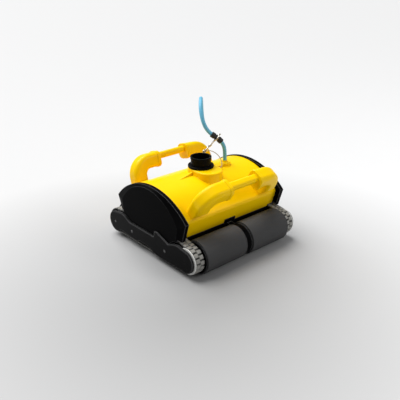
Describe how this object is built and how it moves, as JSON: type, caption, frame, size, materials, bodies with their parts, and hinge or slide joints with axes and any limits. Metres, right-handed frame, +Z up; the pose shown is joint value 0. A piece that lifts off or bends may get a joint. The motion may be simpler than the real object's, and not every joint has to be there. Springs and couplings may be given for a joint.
{
  "type": "tracked pool cleaner",
  "caption": "Tracked robotic pool cleaner: arched case, fat carrying handles, foam rollers, cleated belts, top outlet, suction lid and a coiled floating cable.",
  "frame": {"origin": "on the floor, under the middle of the machine", "axes": "+X across the machine along the roller axles, +Y from front to rear, +Z up"},
  "size_m": [0.738, 0.616, 0.446],
  "materials": {
    "yellow_plastic": "satin gloss moulding",
    "black_plastic": "fine moulded grain",
    "black_rubber": "matt",
    "steel": "satin",
    "white_plastic": "moulded",
    "filter_cloth": "fine woven mesh",
    "grey_plastic": "moulded",
    "motor_steel": "plated",
    "float_foam": "closed-cell foam",
    "circuit_board": "coated",
    "belt_rubber": "matt ribbed",
    "roller_foam": "fine open foam",
    "pale_plastic": "moulded",
    "cable_jacket": "smooth foamed jacket",
    "tie_webbing": "hook-and-loop tape",
    "tether_line": "braided",
    "plug_plastic": "moulded"
  },
  "bodies": {
    "root": {"top_shell": "yellow_plastic", "front_handle": "yellow_plastic", "rear_handle": "yellow_plastic", "cable_gland": "yellow_plastic", "left_shield": "black_plastic", "right_shield": "black_plastic", "left_arm": "black_plastic", "right_arm": "black_plastic", "outlet_cap": "black_plastic", "outlet_grille": "black_plastic", "bottom_tray": "black_plastic", "bottom_lid": "black_plastic", "front_roller_bracket": "black_plastic", "rear_roller_bracket": "black_plastic", "outlet_gasket": "black_rubber", "shaft_seals": "black_rubber", "cable_sleeve": "black_rubber", "case_screws": "steel", "arm_screws": "steel", "inner_axle_pins": "steel", "outer_axle_pins": "steel", "snap_hook": "steel", "filter_frame": "white_plastic", "filter_bag": "filter_cloth", "motor_can": "grey_plastic", "motor_can_lid": "grey_plastic", "pump_motor": "motor_steel", "left_drive_motor": "motor_steel", "right_drive_motor": "motor_steel", "float_blocks": "float_foam", "control_board": "circuit_board", "left_belt": "belt_rubber", "right_belt": "belt_rubber", "cable": "cable_jacket", "cable_coil": "cable_jacket", "coil_ties": "tie_webbing", "tether_cord": "tether_line", "cable_plug": "plug_plastic"},
    "front_left_roller": {"front_left_roller_core": "black_plastic", "front_left_roller_sleeve": "roller_foam", "front_left_belt_wheel": "pale_plastic"},
    "front_right_roller": {"front_right_roller_core": "black_plastic", "front_right_roller_sleeve": "roller_foam", "front_right_belt_wheel": "pale_plastic"},
    "rear_left_roller": {"rear_left_roller_core": "black_plastic", "rear_left_roller_sleeve": "roller_foam", "rear_left_belt_wheel": "pale_plastic"},
    "rear_right_roller": {"rear_right_roller_core": "black_plastic", "rear_right_roller_sleeve": "roller_foam", "rear_right_belt_wheel": "pale_plastic"},
    "left_drive": {"left_drive_pulley": "grey_plastic"},
    "right_drive": {"right_drive_pulley": "grey_plastic"},
    "pump_impeller": {"impeller": "white_plastic"},
    "left_flap": {"left_intake_flap": "black_plastic"},
    "right_flap": {"right_intake_flap": "black_plastic"},
    "front_latch": {"front_turn_latch": "black_plastic"},
    "rear_latch": {"rear_turn_latch": "black_plastic"}
  },
  "joints": [
    {"name": "front_left_roller_spin", "type": "hinge", "parent": "root", "child": "front_left_roller", "pos_m": [-0.095, -0.185, 0.054], "axis": [1, 0, 0], "continuous": true},
    {"name": "rear_left_roller_spin", "type": "hinge", "parent": "root", "child": "rear_left_roller", "pos_m": [-0.095, 0.185, 0.054], "axis": [1, 0, 0], "continuous": true},
    {"name": "left_drive_spin", "type": "hinge", "parent": "root", "child": "left_drive", "pos_m": [-0.19, 0, 0.098], "axis": [1, 0, 0], "continuous": true},
    {"name": "front_right_roller_spin", "type": "hinge", "parent": "root", "child": "front_right_roller", "pos_m": [0.095, -0.185, 0.054], "axis": [1, 0, 0], "continuous": true},
    {"name": "rear_right_roller_spin", "type": "hinge", "parent": "root", "child": "rear_right_roller", "pos_m": [0.095, 0.185, 0.054], "axis": [1, 0, 0], "continuous": true},
    {"name": "right_drive_spin", "type": "hinge", "parent": "root", "child": "right_drive", "pos_m": [0.19, 0, 0.098], "axis": [1, 0, 0], "continuous": true},
    {"name": "impeller_spin", "type": "hinge", "parent": "root", "child": "pump_impeller", "pos_m": [0, 0, 0.21], "axis": [0, 0, 1], "continuous": true},
    {"name": "left_flap_swing", "type": "hinge", "parent": "root", "child": "left_flap", "pos_m": [-0.018, 0, 0.0303], "axis": [0, 1, 0], "range_deg": [0, 70]},
    {"name": "right_flap_swing", "type": "hinge", "parent": "root", "child": "right_flap", "pos_m": [0.018, 0, 0.0303], "axis": [0, -1, 0], "range_deg": [0, 70]},
    {"name": "front_latch_turn", "type": "hinge", "parent": "root", "child": "front_latch", "pos_m": [0, -0.116, 0.022], "axis": [0, 0, 1], "range_deg": [0, 90]},
    {"name": "rear_latch_turn", "type": "hinge", "parent": "root", "child": "rear_latch", "pos_m": [0, 0.116, 0.022], "axis": [0, 0, 1], "range_deg": [0, 90]}
  ],
  "couplings": [
    {"joint": "rear_left_roller_spin", "follows": "front_left_roller_spin", "ratio": 1},
    {"joint": "left_drive_spin", "follows": "front_left_roller_spin", "ratio": 1.3846},
    {"joint": "rear_right_roller_spin", "follows": "front_right_roller_spin", "ratio": 1},
    {"joint": "right_drive_spin", "follows": "front_right_roller_spin", "ratio": 1.3846}
  ]
}
